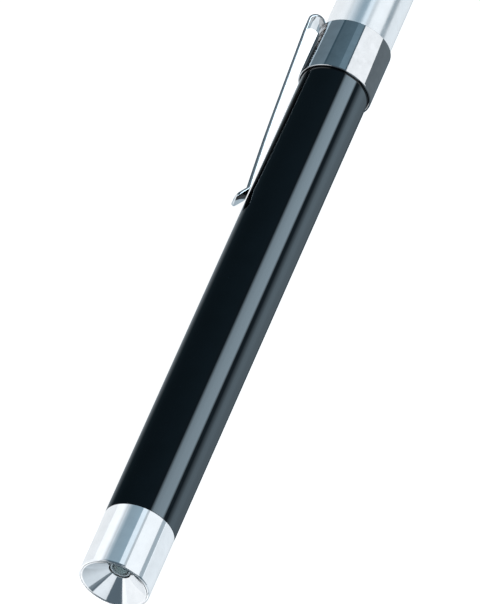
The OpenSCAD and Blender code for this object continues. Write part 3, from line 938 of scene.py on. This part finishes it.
# Panels that light only some pieces: name, first and last angle, first and last station in metres,
# radiance, lean to blue, pieces, and the radiance's shares across the panel where it fades
EVEN = ((0, 1), (1, 1))
WHOLE = (-1.3, 1.0)
BEHIND = (-1.3, -0.25)
LIGHT_PANELS = [
    ("softbox", 9, 59, *WHOLE, 7.8, 0.34, DARK_PIECES,
     ((0, 0.05), (0.19, 0.85), (0.46, 1), (0.85, 1), (1, 0.04))),
    ("head_softbox", 10, 59, *WHOLE, 0.87, 0.0, HEAD),
    ("tail_softbox", 15, 63, *WHOLE, 0.84, 0.0, TAIL),
    ("band_softbox", 7, 50, *WHOLE, 1.42, 0.05, BAND),
    ("low_left", -97, -44, *WHOLE, 1.06, 0.0, HEAD,
     ((0, 1), (0.47, 1), (0.572, 0.86), (0.698, 0.5), (0.82, 0.18), (1, 0))),
    ("tail_left", -97, -28, *WHOLE, 0.86, 0.0, TAIL,
     ((0, 1), (0.35, 1), (0.5, 0.72), (0.65, 0.42), (0.82, 0.18), (1, 0))),
    ("far_left", -180, -97, -1.3, -0.3, 0.86, 0.0, BRIGHT_ENDS),
    ("far_left_front", -168, -97, -0.3, 1.0, 0.95, 0.0, BRIGHT_ENDS,
     ((0, 0.7), (0.08, 0.5), (0.18, 0.8), (0.26, 1))),
    ("upper_left", -58, -11, *BEHIND, 0.24, 0.2, BRIGHT_ENDS),
    ("overhead", -11, 3.5, *BEHIND, 0.8, 0.1, BRIGHT_ENDS),
    ("head_edge", 3.5, 10, *BEHIND, 0.4, 0.0, HEAD),
    ("tail_edge", 3.5, 15, *BEHIND, 0.5, 0.0, TAIL),
    ("right_gap", 59, 76, -1.3, -0.1, 0.3, 0.1, HEAD),
    ("tail_gap", 63, 84, -1.3, -0.1, 0.16, 0.1, TAIL),
    ("right_fill", 74, 184, -1.3, -0.1, 0.7, 0.06, HEAD, ((0, 1), (0.55, 1), (1, 0.7))),
    ("tail_fill", 84, 184, -1.3, -0.1, 0.68, 0.06, TAIL, ((0, 1), (0.55, 1), (1, 0.7))),
    ("right_front", 98, 160, -0.1, 0.9, 0.58, 0.1, BRIGHT_ENDS, ((0, 1), (0.4, 0.95), (0.7, 0.7), (1, 0.4))),
    ("mouth_front", 0, 80, 0.85, 2.3, 0.82, 0.06, HEAD, ((0, 0.85), (0.6, 1), (1, 1))),
    ("lip_front", 150, 210, 0.38, 0.45, 1.0, 0.0, HEAD),
    ("lip_far", 150, 176.5, 0.45, 0.62, 1.0, 0.0, HEAD),
    ("lip_near", 183, 210, 0.45, 0.62, 1.0, 0.0, HEAD),
    ("lip_left", 150, 177, 0.2, 0.38, 1.0, 0.0, HEAD),
    ("lip_right", 184, 210, 0.2, 0.38, 1.0, 0.0, HEAD),
    ("barrel_left", -180, -122, -1.3, 0.0, 0.45, 0.15, BARREL, ((0, 1), (0.6, 0.9), (1, 0))),
    ("barrel_right", 70, 150, *WHOLE, 1.9, 0.37, BARREL,
     ((0, 0.05), (0.28, 1), (0.4, 0.85), (0.56, 0.45), (0.7, 0.24), (1, 0.03))),
    ("clip_left", -112, -63, *WHOLE, 0.22, 0.34, CLIP_PIECES),
    ("clip_edge", -122, -111, *BEHIND, 1.0, 0.3, CLIP_PIECES),
    ("clip_upper", -57, -16, *BEHIND, 0.05, 0.3, CLIP_PIECES),
    ("band_overhead", -16, 3, *BEHIND, 0.2, 0.4, BAND),
    ("clip_front_left", -140, -45, 0.1, 1.2, 1.1, 0.05, CLIP_PIECES),
    ("band_right", 50, 76.5, *WHOLE, 1.42, 0.05, CLIP_PIECES),
    ("under_front", 140, 225, 0.1, 1.0, 1.3, 0.15, ARM),
    ("rim_front", 184, 225, 0.1, 1.0, 1.3, 0.04, BAND),
    ("under_back", 135, 225, -0.4, 0.1, 0.55, 0.3, ARM),
    ("arm_overhead", -12, 10, *BEHIND, 0.13, -0.35, ARM),
]

# Where a new stop of a colour ramp stands before it gets its own position
NEW_STOP = 0.5


def fill_ramp(node, stops):
    """Gives a colour ramp its stops, as (position, colour) pairs in rising order."""
    elements = node.color_ramp.elements
    while len(elements) < len(stops):
        elements.new(NEW_STOP)
    for element, (position, colour) in zip(elements, stops):
        element.position = position
        element.color = colour


def tinted(share, lean):
    """A grey that leans to blue."""
    return [share * (1 - lean * part) for part in BLUE_LEAN]


class BuildStage(bpy.types.Operator):
    """Lays the floor, sets the studio light and places the camera"""

    bl_idname = "penlight.stage"
    bl_label = "Stage"

    floor_size = 6.0
    dark_tilt = math.radians(42)
    dark_edges = (math.radians(58), math.radians(53))
    backdrop = (0.96, 0.97, 0.98, 1)
    dark_side = (0.013, 0.018, 0.022, 1)
    sensor_width = 36
    view_end = 100

    def execute(self, context):
        scene = context.scene
        self.turn = Matrix.Rotation(rest_roll(sizes()), 3, "X")
        studio = scene.penlight_studio
        self.back = Vector((math.sin(studio.tilt), 0, math.cos(studio.tilt)))
        self.dark_way = Vector((math.sin(self.dark_tilt), 0, math.cos(self.dark_tilt)))
        self.lay_floor()
        self.light_studio(scene)
        for panel in LIGHT_PANELS:
            self.hang_panel(scene, *panel)
        self.place_camera(scene)
        scene.view_settings.view_transform = "Standard"
        return {"FINISHED"}

    def lay_floor(self):
        deselect_all()
        bpy.ops.mesh.primitive_plane_add(size=self.floor_size, location=(0, 0, -BAND_RADIUS))
        floor = named("floor")
        floor.visible_glossy = False
        floor.visible_shadow = False
        finish = Finish("pale_floor")
        finish.colour(colours().floor, drift=0.99, scale=40.0)
        finish.set(Roughness=0.9, Emission_Color=(1, 1, 1, 1), Emission_Strength=1.0)
        floor.data.materials.append(finish.material)

    def light_studio(self, scene):
        """Surrounds the pen with the studio's bands of light, and with a dark side behind the camera."""
        world = bpy.data.worlds.new("soft_studio")
        scene.world = world
        world.use_nodes = True
        tree = world.node_tree
        tree.nodes.clear()
        coords = add_node(tree, "TexCoord")
        level = add_node(tree, "VectorRotate", Angle=-rest_roll(sizes()))
        level.rotation_type = "X_AXIS"
        split = add_node(tree, "SeparateXYZ")
        around = combined(tree, "ARCTAN2", split.outputs["Y"], split.outputs["Z"])
        spread = stretched(tree, around, -math.pi, math.pi)
        ramp = add_node(tree, "ValToRGB")
        stops = [((angle + 180) / 360, tinted(share, lean) + [1]) for angle, share, lean in STUDIO_BANDS]
        fill_ramp(ramp, stops)
        facing = add_node(tree, "VectorMath", "DOT_PRODUCT")
        facing.inputs[1].default_value = self.dark_way
        spot = stretched(tree, facing.outputs["Value"], *map(math.cos, self.dark_edges))
        bands = colour_mix(tree, spot.outputs["Result"], ramp.outputs["Color"], self.dark_side)
        studio = add_node(tree, "Background", Strength=scene.penlight_studio.surround)
        plain = add_node(tree, "Background", Color=self.backdrop)
        path = add_node(tree, "LightPath")
        mix = add_node(tree, "MixShader")
        out = add_node(tree, "OutputWorld")
        tree.links.new(bands, studio.inputs["Color"])
        for source, output, target, entry in (
            (coords, "Generated", level, "Vector"),
            (level, "Vector", split, "Vector"),
            (level, "Vector", facing, 0),
            (spread, "Result", ramp, "Fac"),
            (path, "Is Camera Ray", mix, 0),
            (studio, "Background", mix, 1),
            (plain, "Background", mix, 2),
            (mix, "Shader", out, "Surface"),
        ):
            tree.links.new(source.outputs[output], target.inputs[entry])

    def hang_panel(self, scene, name, first, last, low, high, radiance, lean, lit_pieces, shares=EVEN):
        """Hangs a light panel beside the pen, that lights only the pieces named with it."""
        studio = scene.penlight_studio
        middle = math.radians((first + last) / 2)
        outward = self.turn @ Vector((0, math.sin(middle), math.cos(middle)))
        along = Vector((1, 0, 0))
        data = bpy.data.lights.new(name + "_panel", "AREA")
        data.shape = "RECTANGLE"
        data.size = high - low
        data.size_y = 2 * studio.panel_distance * math.tan(math.radians(last - first) / 2)
        data.energy = radiance * math.pi * data.size * data.size_y
        data.color = tinted(1, lean)
        self.fade_panel(data, shares)
        panel = bpy.data.objects.new(data.name, data)
        panel.matrix_world = Matrix((along, outward.cross(along), outward)).transposed().to_4x4()
        panel.location = outward * studio.panel_distance + along * (low + high) / 2
        panel.visible_camera = False
        scene.collection.objects.link(panel)
        lit = bpy.data.collections.new(name + "_pieces")
        for piece in lit_pieces:
            lit.objects.link(bpy.data.objects[piece])
        panel.light_linking.receiver_collection = lit

    def fade_panel(self, data, shares):
        """Lets a panel's light fade across its width."""
        data.use_nodes = True
        tree = data.node_tree
        spot = add_node(tree, "NewGeometry")
        split = add_node(tree, "SeparateXYZ")
        ramp = add_node(tree, "ValToRGB")
        fill_ramp(ramp, [(position, (share, share, share, 1)) for position, share in shares])
        tree.links.new(spot.outputs["Parametric"], split.inputs["Vector"])
        tree.links.new(split.outputs["Y"], ramp.inputs["Fac"])
        tree.links.new(ramp.outputs["Color"], tree.nodes["Emission"].inputs["Strength"])

    def place_camera(self, scene):
        studio = scene.penlight_studio
        along = Vector((-math.cos(studio.tilt), 0, math.sin(studio.tilt)))
        across = Vector((0, 1, 0))
        roll = math.pi / 2 - studio.lean
        right = across * math.cos(roll) + along * math.sin(roll)
        up = along * math.cos(roll) - across * math.sin(roll)
        data = bpy.data.cameras.new("camera")
        data.lens = studio.lens
        data.sensor_width = self.sensor_width
        data.sensor_fit = "AUTO"
        data.clip_end = self.view_end
        camera = bpy.data.objects.new("camera", data)
        camera.matrix_world = (self.turn @ Matrix((right, up, self.back)).transposed()).to_4x4()
        camera.location = Vector((-studio.aim, 0, 0)) + self.turn @ self.back * studio.distance
        scene.collection.objects.link(camera)
        scene.camera = camera


PIECES = (
    BuildBarrel, BuildHead, BuildLamp, BuildClipBand, BuildClipArm, BuildTailCap, BuildPushButton,
    BuildReturnSpring, FinishInnerPieces, BuildStage,
)
GROUPS = {
    "penlight_sizes": PenlightSizes,
    "penlight_colours": PenlightColours,
    "penlight_studio": PenlightStudio,
}


class PenlightPanel(bpy.types.Panel):
    """Lists the penlight's pieces and their settings"""

    bl_idname = "VIEW3D_PT_penlight"
    bl_label = "Penlight"
    bl_space_type = "VIEW_3D"
    bl_region_type = "UI"
    bl_category = "Penlight"

    def draw(self, context):
        for piece in PIECES:
            self.layout.operator(piece.bl_idname)
        for group in GROUPS:
            settings = getattr(context.scene, group)
            box = self.layout.box()
            for name in settings.__annotations__:
                box.prop(settings, name)


def register():
    for cls in (*GROUPS.values(), *PIECES, PenlightPanel):
        bpy.utils.register_class(cls)
    for name, group in GROUPS.items():
        setattr(bpy.types.Scene, name, bpy.props.PointerProperty(type=group))


def unregister():
    for name in GROUPS:
        delattr(bpy.types.Scene, name)
    for cls in reversed((*GROUPS.values(), *PIECES, PenlightPanel)):
        bpy.utils.unregister_class(cls)


def main():
    register()
    bpy.ops.penlight.barrel()
    bpy.ops.penlight.head()
    bpy.ops.penlight.lamp()
    bpy.ops.penlight.clip_band()
    bpy.ops.penlight.clip_arm()
    bpy.ops.penlight.tail_cap()
    bpy.ops.penlight.push_button()
    bpy.ops.penlight.return_spring()
    bpy.ops.penlight.inner_pieces()
    bpy.ops.penlight.stage()


if __name__ == "__main__":
    main()
